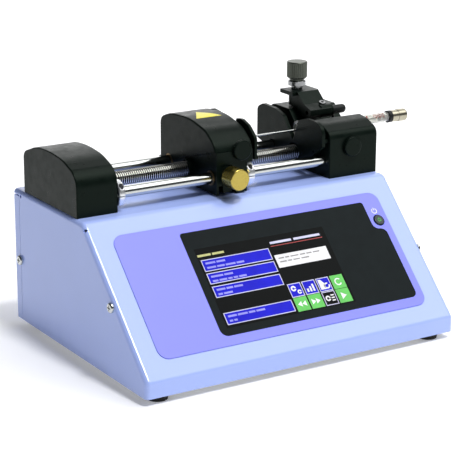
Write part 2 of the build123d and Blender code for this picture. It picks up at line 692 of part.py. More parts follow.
def make_release_yoke():
    """Bar under the front rod and the screw that carries the half nut, and its front plate."""
    yoke = block(*YOKE, 84.9, NUT_Y + 10.2, DECK_Z + 2.2, DECK_Z + 5.6)
    yoke += block(*YOKE, 84.9, 86.1, DECK_Z + 2.2, DECK_Z + 19.0)
    return yoke - rod_y(84, 87, KNOB_X, KNOB_Z, STEM_R - 1)


def make_release_knob():
    """Brass knob that is pushed in to open the half nut."""
    knob = rod_y(69.6, 81.2, KNOB_X, KNOB_Z, 6.9)
    rims = knob.faces().filter_by(Axis.Y)
    knob = fillet([e for f in rims for e in f.edges()], 0.7)
    knob += rod_y(81.2, 84.9, KNOB_X, KNOB_Z, STEM_R)
    return knob + rod_y(84.9, 86.1, KNOB_X, KNOB_Z, STEM_R - 1)


def make_release_spring():
    """Return spring of the half nut, between the nut and the rear of its pocket."""
    turns, pitch, wire, r = 4, 1.1, 0.7, 2.4
    rings = []
    for i in range(turns):
        y0 = NUT_Y + 10.5 + i * pitch
        ring = rod_y(y0, y0 + wire, KNOB_X, SCREW_Z, r)
        rings.append(ring - rod_y(y0, y0 + wire, KNOB_X, SCREW_Z, r - wire))
    return group(rings)


PUSHER_EARS = [                               # plate with a slot for the plunger between two ears
    (85.2, 20.6, 0),
    (85.2, 34.5, 5),
    (93, 41.2, 10),
    (101, 44.0, 8),
    (107.4, 43.2, 1),
    (114.6, 22.0, 2),
    (121.4, 22.0, 2),
    (128.6, 43.2, 1),
    (137, 44.0, 6),
    (148, 39.6, 10),
    (154.5, 32.0, 5),
    (154.5, 20.6, 0),
]


def make_pusher_retainer():
    """Plate that holds the plunger's flange against the pusher."""
    left = PUSHER_X1 + 1.3
    plate = rounded_solid(PUSHER_EARS, left, left + 1.9)
    for y, z in PUSHER_PINS:
        plate += rod_x(PUSHER_X1 - 7, left + 0.1, y, z, 1.5)
    return plate


def thumbscrew(x, z, face):
    """Round locking screw on a front face, with finger flutes and a shank."""
    r = 6.7
    screw = rod_y(face - 2.6, face - 0.3, x, z, r)
    rim = screw.faces().sort_by(Axis.Y)[0].edges()
    screw = fillet(rim, 1.0)
    for i in range(24):
        turn = math.radians(15 * i)
        screw -= rod_y(face - 5, face, x + r * math.cos(turn), z + r * math.sin(turn), 0.3)
    return screw + rod_y(face - 0.3, face + 6.5, x, z, STUD_R)


# ---------------------------------------------------------------- holder
HOLDER_FRONT, HOLDER_BACK = 84.6, 159.5
V_APEX = SYRINGE_Z - DECK_Z - BARREL_R * math.sqrt(2) - 0.05     # bottom of the V over the deck
HOLDER_PINS = [(88.2, DECK_Z + 24.6), (146.0, DECK_Z + 27.0)]
HOLDER_CORNERS = [                            # domed front, V groove and flat rear
    (HOLDER_FRONT, 0, 0),
    (HOLDER_FRONT, 29.6, 6),
    (95.5, 34.4, 14),
    (SCREW_Y - (35.6 - V_APEX), 35.6, 1),
    (SCREW_Y, V_APEX, 0),
    (SCREW_Y + (37.6 - V_APEX), 37.6, 1),
    (153, 37.6, 6),
    (HOLDER_BACK, 33.0, 4),
    (HOLDER_BACK, 0, 0),
]
HOLDER_EARS = [                               # plate with a V for the barrel between two ears
    (84.8, 22.0, 0),
    (84.8, 33.6, 7),
    (92.0, 37.6, 10),
    (104.0, 37.4, 6),
    (112.4, 34.6, 3),
    (117.0, 24.0, 0),
    (119.0, 19.8, 0),
    (130.6, 34.2, 4),
    (141.0, 37.2, 8),
    (156.0, 37.8, 6),
    (162.6, 34.4, 4),
    (162.6, 13.0, 0),
    (126, 3.0, 0),
    (110, 3.0, 0),
]


def make_holder_block():
    """Right-hand block that carries the rods, the far screw bearing and the syringe."""
    body = rounded_solid(HOLDER_CORNERS, HOLDER_X0, HOLDER_X1)
    body = soften_ends(body, 0.7, DECK_Z)
    for y in (FRONT_ROD_Y, REAR_ROD_Y):
        body -= rod_x(HOLDER_X0 - 1, 216.0, y, ROD_Z, ROD_R)
    body -= rod_x(HOLDER_X0 - 1, FAR_BEARING_X0, SCREW_Y, SCREW_Z, SCREW_R + 0.6)
    body -= rod_x(FAR_BEARING_X0, FAR_BEARING_X0 + 7.5, SCREW_Y, SCREW_Z, BEARING_R)
    body -= rod_z(POST_BASE, DECK_Z + 50, POST_X, POST_Y, POST_R)
    body -= stud_hole(*HOLDER_STUD)
    for x, y in HOLDER_SCREWS:
        body -= rod_z(DECK_Z - 1, DECK_Z + 8, x, y, 1.5)
    for y, z in HOLDER_PINS:
        body -= rod_x(HOLDER_X0 - 1, HOLDER_X0 + 10, y, z, 1.6)
    return body


def make_drive_screws():
    """Screws up into the drive frame and the holder, and four that hold the motor to its bracket."""
    under = DECK_Z - SHEET
    screws = []
    for x, y in FRAME_SCREWS + HOLDER_SCREWS:
        screws.append(rod_z(under - 1.9, under, x, y, 2.8) + rod_z(under, DECK_Z + 6, x, y, 1.5))
    for dy, dz in MOTOR_HOLES:
        y, z = SCREW_Y + dy, MOTOR_Z + dz
        head = rod_x(MOTOR_X0 - 4, MOTOR_X0 - 2, y, z, 2.7)
        screws.append(head + rod_x(MOTOR_X0 - 2, MOTOR_X0, y, z, 1.5))
    return group(screws)


def make_holder_retainer():
    """Plate that holds the barrel's flange against the holder."""
    x0, x1 = 180.2, 182.6
    plate = rounded_solid(HOLDER_EARS, x0, x1)
    plate -= rod_x(x0 - 1, x1 + 1, SCREW_Y, SCREW_Z, SCREW_R + 1.6)
    plate -= rod_x(x0 - 1, x1 + 1, REAR_ROD_Y, ROD_Z, ROD_R + 0.6)
    for y, z in HOLDER_PINS:
        plate += rod_x(x1 - 0.1, HOLDER_X0 + 6, y, z, 1.5)
    return plate


# ---------------------------------------------------------------- clamp
def make_clamp_post():
    """Upright post in the holder."""
    return rod_z(POST_BASE, DECK_Z + 58.0, POST_X, POST_Y, POST_R)


def make_clamp_bracket():
    """Arm on the post that reaches over the syringe to the clamp bar."""
    z0 = DECK_Z
    arm = [
        (136.5, z0 + 49.2),
        (129.6, z0 + 49.2),
        (121.4, z0 + 42.2),
        (113.6, z0 + 39.6),
        (113.6, z0 + 36.0),
        (116.6, z0 + 33.6),
        (123.0, z0 + 33.9),
        (130.6, z0 + 38.4),
        (136.5, z0 + 38.4),
    ]
    body = polygon_solid(arm, 190.6, 207.6)
    body += block(187.4, 208.4, 130.6, 145.6, z0 + 46.6, CLAMP_TOP)
    body += rod_z(z0 + 38.4, z0 + 46.8, POST_X, POST_Y, 5.4)
    body += rod_x(200.5, 209.6, SCREW_Y, BAR_Z, 4.4)
    body -= rod_z(z0 + 30, z0 + 55, POST_X, POST_Y, POST_R + RUN)
    body -= rod_x(185, 222, SCREW_Y, BAR_Z, 1.5)
    return body - clamp_screw_body(0)


def make_clamp_bar():
    """Rounded black bar that bears on the syringe, with its stem in the arm."""
    bar = rod_x(209.6, 221.6, SCREW_Y, BAR_Z, 3.0)
    bar = fillet(bar.faces().sort_by(Axis.X)[-1].edges(), 2.6)
    return bar + rod_x(196, 209.6, SCREW_Y, BAR_Z, 1.5)


def make_clamp_foot():
    """Small sprung stud under the bar that touches the barrel."""
    x = 212.0
    low = SYRINGE_Z + BARREL_R + 0.35
    foot = rod_z(low, low + 1.4, x, SCREW_Y, 1.7)
    return foot + rod_z(low + 1.4, BAR_Z - 3.0, x, SCREW_Y, 1.0)


CLAMP_SCREW = Pos(204.4, 120.2, DECK_Z + 41.8) * Rot(18.4, 0, 0)


def clamp_screw_body(grow):
    """Head and shank of the set screw, square to the arm's sloping face."""
    head = Pos(0, 0, 0.4) * Cylinder(2.2 + grow, 1.6)
    return CLAMP_SCREW * (head + Pos(0, 0, -2.4) * Cylinder(1.2 + grow, 4))


def make_clamp_screw():
    """Set screw in the arm's front, with a hexagon socket."""
    socket = extrude(RegularPolygon(1.1, 6), amount=-1.4)
    return clamp_screw_body(-0.02) - CLAMP_SCREW * Pos(0, 0, 1.2) * socket


def make_clamp_nut():
    """Collar under the knob: a neck on the clamp, then a round flange."""
    nut = rod_z(CLAMP_TOP, CLAMP_TOP + 2.7, POST_X, POST_Y, 3.8)
    nut += rod_z(CLAMP_TOP + 2.6, CLAMP_TOP + 6.0, POST_X, POST_Y, 6.0)
    nut = chamfer(nut.faces().sort_by(Axis.Z)[-1].edges(), 0.7)
    return nut - rod_z(CLAMP_TOP - 1, CLAMP_TOP + 9, POST_X, POST_Y, POST_R + RUN)


def make_clamp_knob():
    """Fluted steel knob with chamfered ends and a neck."""
    low, high = DECK_Z + 56.3, DECK_Z + 68.0
    knob = rod_z(low, high, POST_X, POST_Y, 6.9)
    knob = chamfer(knob.faces().sort_by(Axis.Z)[0].edges(), 1.2)
    knob = fillet(knob.faces().sort_by(Axis.Z)[-1].edges(), 0.8)
    for i in range(30):
        turn = math.radians(12 * i)
        x, y = POST_X + 7.1 * math.cos(turn), POST_Y + 7.1 * math.sin(turn)
        knob -= rod_z(low + 1, high - 1, x, y, 0.5)
    knob += rod_z(CLAMP_TOP + 6.0, low + 1, POST_X, POST_Y, 4.6)
    return knob - rod_z(DECK_Z + 50, DECK_Z + 62, POST_X, POST_Y, POST_R + RUN)


# ---------------------------------------------------------------- syringe
def make_syringe_barrel():
    """Glass barrel with a round flange at its left end."""
    barrel = rod_x(BARREL_X0, BARREL_X1, SCREW_Y, SYRINGE_Z, BARREL_R)
    barrel += rod_x(BARREL_X0, BARREL_X0 + 1.8, SCREW_Y, SYRINGE_Z, 6.0)
    return barrel - rod_x(BARREL_X0 - 1, BARREL_X1 + 1, SCREW_Y, SYRINGE_Z, BARREL_BORE)


def make_syringe_tip():
    """Metal hub in two diameters, with a short outlet pin down in its end."""
    hub = rod_x(HUB_X0, HUB_STEP, SCREW_Y, SYRINGE_Z, 4.0)
    hub += rod_x(HUB_STEP, TIP_X1, SCREW_Y, SYRINGE_Z, 4.25)
    hub = fillet(hub.faces().sort_by(Axis.X)[-1].edges(), 1.2)
    hub -= rod_x(TIP_X1 - 5.1, TIP_X1 + 1, SCREW_Y, SYRINGE_Z, 2.4)
    outlet = rod_x(TIP_X1 - 5.6, TIP_X1 - 0.8, SCREW_Y, SYRINGE_Z, 1.5)
    return hub + outlet - rod_x(HUB_X0 - 1, TIP_X1 + 1, SCREW_Y, SYRINGE_Z, 0.5)


def make_syringe_ring():
    """Black ring between the glass and the metal hub."""
    ring = rod_x(RING_X0, HUB_X0, SCREW_Y, SYRINGE_Z, 4.1)
    ring -= rod_x(RING_X0 - 1, BARREL_X1, SCREW_Y, SYRINGE_Z, BARREL_R)
    return ring - rod_x(RING_X0 - 1, HUB_X0 + 1, SCREW_Y, SYRINGE_Z, 0.5)


def make_plunger():
    """Steel plunger rod with its flange at the pusher."""
    left = PUSHER_X1 + 0.35
    rod = rod_x(left, SEAL_X1 - 6.0, SCREW_Y, SYRINGE_Z, 0.7)
    return rod + rod_x(left, left + 0.6, SCREW_Y, SYRINGE_Z, 4.8)


def make_plunger_seal():
    """White sliding seal at the plunger's end."""
    seal = rod_x(SEAL_X1 - 6.0, SEAL_X1, SCREW_Y, SYRINGE_Z, BARREL_BORE - RUN)
    return fillet(seal.faces().sort_by(Axis.X)[-1].edges(), 0.5)


# ---------------------------------------------------------------- all parts
keep("case_shell", make_case_shell())
keep("base_plate", make_base_plate())
keep("rear_panel", make_rear_panel())
keep("side_screws", make_side_screws())
keep("rubber_feet", make_feet())
keep("foot_screws", make_foot_screws())
keep("front_overlay", make_front_overlay())
keep("touch_glass", make_touch_glass())
keep("lcd_module", make_lcd_module())
keep("power_button", make_power_button())
keep("button_switch", make_button_switch())
keep("main_board", make_main_board())
keep("board_posts", make_board_posts())
keep("board_parts", make_board_parts())
keep("switch_frame", make_switch_frame())
keep("switch_rocker", make_switch_rocker())
keep("power_inlet", make_power_inlet())
keep("usb_socket", make_usb_socket())
keep("network_sockets", make_network_sockets())
keep("control_socket", make_control_socket())
keep("drive_cover", make_drive_cover())
keep("drive_frame", make_drive_frame())
keep("screw_bearings", make_screw_bearings())
keep("lead_screw", make_lead_screw())
keep("screw_pulley", make_screw_pulley())
keep("motor_pulley", make_motor_pulley())
keep("timing_belt", make_timing_belt())
keep("motor_body", make_motor_body())
keep("motor_shaft", make_motor_shaft())
keep("motor_bracket", make_motor_bracket())
keep("guide_rod_front", make_guide_rod(FRONT_ROD_Y))
keep("guide_rod_rear", make_guide_rod(REAR_ROD_Y))
for name, (left_x, right_x) in COLLARS.items():
    keep(name, make_collar(left_x, right_x))
keep("collar_screws", make_collar_screws())
keep("pusher_cover", make_pusher_cover())
keep("pusher_block", make_pusher_block())
keep("pusher_bushings", make_pusher_bushings())
keep("half_nut", make_half_nut())
keep("release_yoke", make_release_yoke())
keep("release_knob", make_release_knob())
keep("release_spring", make_release_spring())
keep("pusher_retainer", make_pusher_retainer())
keep("pusher_thumbscrew", thumbscrew(*PUSHER_STUD, 85.0))
keep("holder_block", make_holder_block())
keep("holder_retainer", make_holder_retainer())
keep("holder_thumbscrew", thumbscrew(*HOLDER_STUD, HOLDER_FRONT))
keep("drive_screws", make_drive_screws())
keep("clamp_post", make_clamp_post())
keep("clamp_bracket", make_clamp_bracket())
keep("clamp_bar", make_clamp_bar())
keep("clamp_foot", make_clamp_foot())
keep("clamp_screw", make_clamp_screw())
keep("clamp_nut", make_clamp_nut())
keep("clamp_knob", make_clamp_knob())
keep("syringe_barrel", make_syringe_barrel())
keep("syringe_ring", make_syringe_ring())
keep("syringe_tip", make_syringe_tip())
keep("plunger", make_plunger())
keep("plunger_seal", make_plunger_seal())

os.makedirs("parts", exist_ok=True)
for node, shape in PARTS.items():
    export_step(shape, f"parts/{node}.step")
print(len(PARTS), "parts")
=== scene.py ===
"""Looks of the bench syringe pump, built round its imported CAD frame."""

import math

import bmesh
import bpy
from mathutils import Matrix, Vector
from mathutils.bvhtree import BVHTree


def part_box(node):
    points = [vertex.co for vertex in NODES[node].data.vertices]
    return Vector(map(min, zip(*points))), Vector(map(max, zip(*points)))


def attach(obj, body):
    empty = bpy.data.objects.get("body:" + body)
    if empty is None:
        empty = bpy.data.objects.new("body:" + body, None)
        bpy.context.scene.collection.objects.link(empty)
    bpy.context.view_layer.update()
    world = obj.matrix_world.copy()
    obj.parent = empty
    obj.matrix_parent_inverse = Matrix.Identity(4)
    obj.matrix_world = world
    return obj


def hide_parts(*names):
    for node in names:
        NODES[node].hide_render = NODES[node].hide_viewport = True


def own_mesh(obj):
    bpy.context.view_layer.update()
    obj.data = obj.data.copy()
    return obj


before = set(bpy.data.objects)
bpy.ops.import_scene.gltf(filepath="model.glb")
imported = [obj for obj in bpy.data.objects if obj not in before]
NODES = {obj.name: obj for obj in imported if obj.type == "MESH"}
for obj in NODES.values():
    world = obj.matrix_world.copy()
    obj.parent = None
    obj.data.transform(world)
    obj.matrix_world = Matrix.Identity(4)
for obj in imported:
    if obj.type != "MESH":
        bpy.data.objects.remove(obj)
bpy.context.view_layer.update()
scene = bpy.context.scene
MM = 0.001

# ------------------------------------------------------------------ camera, floor and light
VIEW_AZ, VIEW_EL, VIEW_ROLL = math.radians(-32.26), math.radians(16.88), math.radians(0.287)
VIEW_TARGET = Vector((-0.02492, -0.0067, 0.06646))
VIEW_DISTANCE = 1.12004
LENS, SENSOR = 134.81, 36.0
LAMP_TARGET = Vector((0, 0, 0.06))     # middle of the pump
SKY, FLOOR_GLOW = 0.145, 0.22          # strength of the surroundings and of the floor's own glow
FLOOR_SIZE = 12                        # metres


def look(obj, place, target, roll=0.0):
    """Puts a camera or light at place, facing target."""
    ahead = (target - place).normalized()
    right = ahead.cross(Vector((0, 0, 1))).normalized()
    up = right.cross(ahead)
    turned = math.cos(roll) * right + math.sin(roll) * up
    up = turned.cross(ahead)
    basis = Matrix((turned, up, -ahead)).transposed().to_4x4()
    obj.matrix_world = Matrix.Translation(place) @ basis


def make_camera():
    """Camera at the photograph's viewing angle."""
    data = bpy.data.cameras.new("camera")
    data.lens, data.sensor_width = LENS, SENSOR
    data.clip_start, data.clip_end = 0.01, 50
    camera = bpy.data.objects.new("camera", data)
    scene.collection.objects.link(camera)
    back = Vector((
        math.sin(VIEW_AZ) * math.cos(VIEW_EL),
        -math.cos(VIEW_AZ) * math.cos(VIEW_EL),
        math.sin(VIEW_EL),
    ))
    look(camera, VIEW_TARGET + back * VIEW_DISTANCE, VIEW_TARGET, VIEW_ROLL)
    scene.camera = camera


def light(name, kind, place, power, **settings):
    """Lamp at place that faces the middle of the pump."""
    data = bpy.data.lights.new(name, kind)
    data.energy = power
    for key, value in settings.items():
        setattr(data, key, value)
    lamp = bpy.data.objects.new(name, data)
    scene.collection.objects.link(lamp)
    look(lamp, Vector(place), LAMP_TARGET)


def make_surroundings():
    """Pale surroundings, brightest at the horizon."""
    world = bpy.data.worlds.new("studio")
    scene.world = world
    world.use_nodes = True
    nodes, links = world.node_tree.nodes, world.node_tree.links
    sky = nodes["Background"]
    sky.inputs["Strength"].default_value = SKY
    where = nodes.new("ShaderNodeTexCoord")
    split = nodes.new("ShaderNodeSeparateXYZ")
    ramp = nodes.new("ShaderNodeValToRGB")
    links.new(where.outputs["Generated"], split.inputs[0])
    links.new(split.outputs["Z"], ramp.inputs[0])
    links.new(ramp.outputs[0], sky.inputs["Color"])
    horizon, top = ramp.color_ramp.elements
    horizon.position, horizon.color = 0.0, (0.95, 0.97, 1.0, 1)
    top.position, top.color = 0.7, (0.35, 0.37, 0.42, 1)


def make_floor():
    """Plain white table that runs out of sight."""
    bpy.ops.mesh.primitive_plane_add(size=FLOOR_SIZE)
    floor = bpy.context.object
    floor.name = "floor"
    paper = bpy.data.materials.new("paper")
    paper.use_nodes = True
    face = paper.node_tree.nodes["Principled BSDF"]
    face.inputs["Base Color"].default_value = (0.90, 0.90, 0.91, 1)
    face.inputs["Roughness"].default_value = 0.85
    face.inputs["Specular IOR Level"].default_value = 0.1
    face.inputs["Emission Color"].default_value = (1, 1, 1, 1)
    face.inputs["Emission Strength"].default_value = FLOOR_GLOW
    floor.data.materials.append(paper)


def make_studio():
    """White table, pale surroundings, a soft sun from the front and two soft panels."""
    make_surroundings()
    make_floor()
    light("sun", "SUN", (0.12, -0.45, 1.0), 1.7, angle=math.radians(9))
    light("overhead", "AREA", (0.65, -0.45, 1.6), 20, shape="SQUARE", size=1.6)
    light("backdrop", "AREA", (0.9, 1.5, 0.9), 17, shape="RECTANGLE", size=2.0, size_y=1.8)


# ------------------------------------------------------------------ materials
class Shader:
    """Small helper that builds one node material on object coordinates."""

    def __init__(self, name, color, rough, metallic=0.0, specular=0.5):
        self.material = bpy.data.materials.new(name)
        self.material.use_nodes = True
        self.tree = self.material.node_tree
        self.face = self.tree.nodes["Principled BSDF"]
        self.color = (*color, 1)
        self.face.inputs["Base Color"].default_value = self.color
        self.face.inputs["Roughness"].default_value = rough
        self.face.inputs["Metallic"].default_value = metallic
        self.face.inputs["Specular IOR Level"].default_value = specular
        self.rough = rough
        self.place = self.node("ShaderNodeTexCoord").outputs["Object"]

    def node(self, kind, **settings):
        """New node with the given settings."""
        made = self.tree.nodes.new(kind)
        for key, value in settings.items():
            setattr(made, key, value)
        return made

    def link(self, source, target):
        """Joins an output to an input."""
        self.tree.links.new(source, target)

    def noise(self, size_mm, detail=3.0, stretch=(1, 1, 1)):
        """Noise whose grains are about size_mm across, drawn out along the axes by stretch."""
        scale = self.node("ShaderNodeMapping")
        scale.inputs["Scale"].default_value = [1 / value for value in stretch]
        self.link(self.place, scale.inputs["Vector"])
        noise = self.node("ShaderNodeTexNoise")
        noise.inputs["Scale"].default_value = 1 / (size_mm * MM)
        noise.inputs["Detail"].default_value = detail
        self.link(scale.outputs[0], noise.inputs["Vector"])
        return noise.outputs["Fac"]

    def spread(self, source, low, high, start=0.3, stop=0.7):
        """Maps a value from start..stop to low..high."""
        ranged = self.node("ShaderNodeMapRange")
        ranged.inputs["From Min"].default_value = start
        ranged.inputs["From Max"].default_value = stop
        ranged.inputs["To Min"].default_value = low
        ranged.inputs["To Max"].default_value = high
        self.link(source, ranged.inputs["Value"])
        return ranged.outputs[0]

    def blend(self, amount, first, second):
        """Colour between first and second by amount."""
        mix = self.node("ShaderNodeMix", data_type="RGBA")
        self.link(amount, mix.inputs[0])
        for socket, value in ((mix.inputs[6], first), (mix.inputs[7], second)):
            if isinstance(value, tuple):
                socket.default_value = value
            else:
                self.link(value, socket)
        return mix.outputs[2]

    def mottle(self, size_mm, amount, stretch=(1, 1, 1)):
        """Slow lightness variation of the base colour, and of the roughness with it."""
        patches = self.noise(size_mm, 4.0, stretch)
        dark = tuple(max(0.0, c * (1 - amount)) for c in self.color[:3]) + (1,)
        light = tuple(min(1.0, c * (1 + amount)) for c in self.color[:3]) + (1,)
        shade = self.blend(self.spread(patches, 0, 1), dark, light)
        self.link(shade, self.face.inputs["Base Color"])
        wear = self.spread(patches, self.rough * (1 - 2 * amount), min(1.0, self.rough * (1 + 2 * amount)))
        self.link(wear, self.face.inputs["Roughness"])
        return shade

    def grain(self, size_mm, depth_mm, round_mm=0.25, stretch=(1, 1, 1)):
        """Fine relief, over edges that are rounded by round_mm."""
        bump = self.node("ShaderNodeBump")
        bump.inputs["Distance"].default_value = depth_mm * MM
        bump.inputs["Strength"].default_value = 1.0
        self.link(self.noise(size_mm, 2.0, stretch), bump.inputs["Height"])
        if round_mm:
            soft = self.node("ShaderNodeBevel", samples=4)
            soft.inputs["Radius"].default_value = round_mm * MM
            self.link(soft.outputs[0], bump.inputs["Normal"])
        self.link(bump.outputs[0], self.face.inputs["Normal"])

    def worn_edges(self, shade, color, amount, round_mm=0.4):
        """Edges rubbed lighter: where a rounded normal leaves the true one."""
        soft = self.node("ShaderNodeBevel", samples=4)
        soft.inputs["Radius"].default_value = round_mm * MM
        flat = self.node("ShaderNodeNewGeometry")
        dot = self.node("ShaderNodeVectorMath", operation="DOT_PRODUCT")
        self.link(soft.outputs[0], dot.inputs[0])
        self.link(flat.outputs["True Normal"], dot.inputs[1])
        edge = self.spread(dot.outputs["Value"], amount, 0, 0.80, 0.985)
        worn = self.blend(edge, shade, (*color, 1))
        self.link(worn, self.face.inputs["Base Color"])


def paint(material, *names):
    """Gives CAD nodes a material."""
    for name in names:
        for place in NODES[name].material_slots:
            place.material = material


def satin_paint(name, color, rough=0.38):
    """Powder-coated sheet: faint orange peel and a little variation."""
    shader = Shader(name, color, rough, specular=0.6)
    shader.mottle(35, 0.012)
    shader.grain(0.9, 0.004, 0.35)
    return shader.material


def anodised(name, color, rough, direction=(1, 1, 1)):
    """Black anodised aluminium with faint tool marks and paler edges."""
    shader = Shader(name, color, rough, specular=0.10)
    shader.face.inputs["Specular Tint"].default_value = (0.80, 1.0, 0.84, 1)
    shade = shader.mottle(6, 0.12)
    shader.grain(0.35, 0.004, 0.3, direction)
    shader.worn_edges(shade, tuple(c * 3.2 for c in color), 0.6)
    return shader.material


def metal(name, color, rough, stretch=(1, 1, 1), grain_mm=0.4, depth_mm=0.002):
    """Bare metal with a drawn or turned finish."""
    shader = Shader(name, color, rough, metallic=1.0)
    shader.mottle(4, 0.05, stretch)
    shader.grain(grain_mm, depth_mm, 0.2, stretch)
    return shader.material


def moulded(name, color, rough, specular=0.4):
    """Moulded plastic or rubber with a fine matte grain."""
    shader = Shader(name, color, rough, specular=specular)
    shade = shader.mottle(8, 0.10)
    shader.grain(0.25, 0.008, 0.25)
    shader.worn_edges(shade, tuple(min(1, c * 1.8 + 0.01) for c in color), 0.4)
    return shader.material


PAINTED_LIGHT_SHARE = 0.45                     # share of the thread's depth, from the crest, over which the painted crest highlight turns into the painted root shade
# painted shade for the thread's roots and painted highlight for its crests
ROOT_PAINTED_SHADE, CREST_PAINTED_HIGHLIGHT = (0.02, 0.02, 0.019, 1), (0.95, 0.95, 0.90, 1)


def thread_with_painted_light():
    """Ground steel whose thread has a painted highlight on its crests and painted shade in its roots."""
    shader = Shader("thread_steel", (0.60, 0.60, 0.58), 0.18, metallic=1.0)
    y, z = axis_of("lead_screw")
    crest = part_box("lead_screw")[1].z - z
    offset = shader.node("ShaderNodeVectorMath", operation="SUBTRACT")
    shader.link(shader.place, offset.inputs[0])
    offset.inputs[1].default_value = (0, y, z)
    across = shader.node("ShaderNodeVectorMath", operation="MULTIPLY")
    shader.link(offset.outputs[0], across.inputs[0])
    across.inputs[1].default_value = (0, 1, 1)
    radius = shader.node("ShaderNodeVectorMath", operation="LENGTH")
    shader.link(across.outputs[0], radius.inputs[0])
    rise = shader.spread(radius.outputs["Value"], 0, 1, crest - THREAD_DEPTH * PAINTED_LIGHT_SHARE * MM, crest)
    # painted light: base colour darker towards the roots and lighter towards the crests, by distance from
    # the axis
    shade = shader.blend(rise, ROOT_PAINTED_SHADE, CREST_PAINTED_HIGHLIGHT)
    shader.link(shade, shader.face.inputs["Base Color"])
    shader.grain(0.3, 0.002, 0)
    return shader.material


def clear_glass():
    """Thin clear borosilicate glass."""
    shader = Shader("syringe_glass", (0.80, 0.80, 0.75), 0.06)
    shader.face.inputs["Transmission Weight"].default_value = 0.82
    shader.face.inputs["IOR"].default_value = 1.47
    shader.grain(2.0, 0.002, 0.15)
    return shader.material


# ------------------------------------------------------------------ mesh helpers
SMOOTH_ANGLE = math.radians(35)        # sharper edges than this stay sharp
WELD = 1e-7                            # metres


def new_piece(name, verts, faces, material, body, smooth=False):
    """Closed mesh, in metres in the CAD frame, that rides on a CAD body."""
    mesh = bpy.data.meshes.new(name)
    mesh.from_pydata(verts, [], faces)
    shape = bmesh.new()
    shape.from_mesh(mesh)
    bmesh.ops.remove_doubles(shape, verts=shape.verts, dist=WELD)
    bmesh.ops.holes_fill(shape, edges=shape.edges)
    bmesh.ops.recalc_face_normals(shape, faces=shape.faces)
    shape.to_mesh(mesh)
    shape.free()
    mesh.materials.append(material)
    if smooth:
        mesh.shade_smooth()
        mesh.set_sharp_from_angle(angle=SMOOTH_ANGLE)
    piece = bpy.data.objects.new(name, mesh)
    scene.collection.objects.link(piece)
    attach(piece, body)
    return piece


def prisms(outlines, low, high, place):
    """Points and faces of flat closed prisms. place(u, v, lift) puts each corner in the frame."""
    verts, faces = [], []
    for outline in outlines:
        first, count = len(verts), len(outline)
        verts += [place(u, v, low) for u, v in outline]
        verts += [place(u, v, high) for u, v in outline]
        faces.append([first + i for i in reversed(range(count))])
        faces.append([first + count + i for i in range(count)])
        for i in range(count):
            j = (i + 1) % count
            faces.append([first + i, first + j, first + count + j, first + count + i])
    return verts, faces


def rect(x0, x1, s0, s1):
    """Outline of a rectangle."""
    return [(x0, s0), (x1, s0), (x1, s1), (x0, s1)]


def arc_band(x, s, inner, outer, start, stop, steps=20):
    """Outline of a ring, or of a part of one, between two angles in degrees."""
    turns = [math.radians(start + (stop - start) * i / steps) for i in range(steps + 1)]
    outline = [(x + outer * math.cos(t), s + outer * math.sin(t)) for t in turns]
    outline += [(x + inner * math.cos(t), s + inner * math.sin(t)) for t in reversed(turns)]
    return outline


def axis_of(node):
    """Y and Z of the middle of a node that is round about an axis along X."""
    low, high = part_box(node)
    return (low.y + high.y) / 2, (low.z + high.z) / 2


# ------------------------------------------------------------------ the screen and the printing on the slope
HALF = math.sqrt(0.5)                # the slope leans back at 45 degrees
GLASS_THICK = 0.48                   # mm
LAYER = 0.02                         # mm, thickness of one printed or lit layer
LAYER_GAP = 0.004                    # mm, clear space under each layer


def on_glass(x, s, lift):
    """Place of a point x mm right and s mm up the slope from the glass's corner, lift mm over it."""
    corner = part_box("touch_glass")[0]
    rise = (s + GLASS_THICK + lift) * HALF
    return corner + Vector((x, (s - lift) * HALF, rise)) * MM


def print_on(name, material, layer, outlines, body="root", lift=0.0):
    """Thin flat shapes that lie over the glass or the film, in the given layer."""
    low = lift + layer * LAYER
    verts, faces = prisms(outlines, low + LAYER_GAP, low + LAYER, on_glass)
    return new_piece(name, verts, faces, material, body)


def dashes(x, s, lengths, height, gap=1.0):
    """Row of bars that stands for a line of words."""
    bars = []
    for length in lengths:
        bars.append(rect(x, x + length, s, s + height))
        x += length + gap
    return bars


def power_mark(x, s, r):
    """Ring open at the top with a bar in the gap."""
    return [
        arc_band(x, s, r * 0.72, r, 125, 415),
        rect(x - r * 0.14, x + r * 0.14, s + r * 0.15, s + r * 1.1),
    ]


def wedge(x, s, size, way):
    """Triangle that points right (way 1) or left (way -1)."""
    return [(x - way * size * 0.8, s - size), (x + way * size * 0.8, s), (x - way * size * 0.8, s + size)]


DISPLAY = (5.2, 100.6, 5.0, 60.2)              # lit area: x and s limits from the glass's corner, mm
FIELD_X = (6.7, 56.0)
FRAME_LINE = 0.55                              # width of the pale line round a field or an icon, mm
WORD_SCALE, WORD_DROPS = 0.78, (3.3, 6.4)      # mm per unit of length, and each line's depth in its field
FIELDS = {                                     # s limits of each blue field, and its two lines of words
    (43.9, 52.1): ([9, 8], [8, 7, 9, 7]),
    (35.1, 42.7): ([11, 8], [5, 7, 4, 4, 7]),
    (25.6, 33.5): ([8, 6, 8], [4, 8]),
    (6.8, 15.0): ([8, 9, 6, 8], [3, 3]),
}
NOTE = (57.8, 96.9, 37.3, 46.4)                # white field with help text
ICON_X, ICON_PITCH, ICON = 57.6, 10.6, 9.6     # left edge, pitch and width of the icons
ICON_ROWS = (15.8, 5.9)                        # lower edges of the two rows


def icon_center(column, row):
    """Middle of one icon."""
    return ICON_X + column * ICON_PITCH + ICON / 2, ICON_ROWS[row] + ICON / 2


def icon_cell(column, row, shrink=0.0):
    """Square of one icon, made smaller all round by shrink."""
    x, s = icon_center(column, row)
    half = ICON / 2 - shrink
    return rect(x - half, x + half, s - half, s + half)


